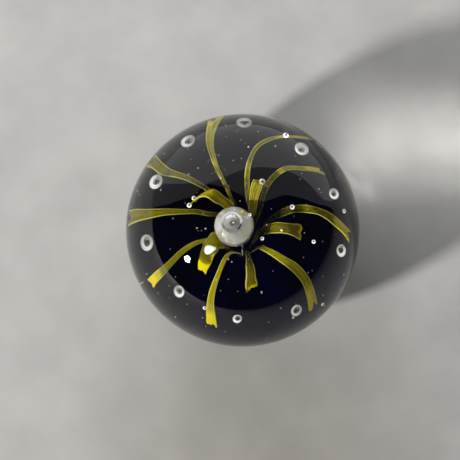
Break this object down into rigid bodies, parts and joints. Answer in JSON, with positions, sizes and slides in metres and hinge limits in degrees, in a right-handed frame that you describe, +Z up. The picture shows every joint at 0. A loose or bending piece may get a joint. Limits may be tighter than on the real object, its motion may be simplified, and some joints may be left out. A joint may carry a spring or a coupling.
{
  "type": "glass paperweight",
  "caption": "Solid clear glass ball with a ground flat base; a dark blue ground, yellow ribbons like a fountain flower and a ring of air bubbles are sealed in it.",
  "frame": {"origin": "centre of the flat base", "axes": "+Z up along the axis that the ball was turned about; -Y faces a person who looks down on it"},
  "size_m": [0.08, 0.08, 0.068],
  "materials": {
    "clear_glass": "fire-polished clear glass, base ground flat and polished"
  },
  "bodies": {
    "root": {"glass_sphere": "clear_glass"}
  },
  "joints": []
}
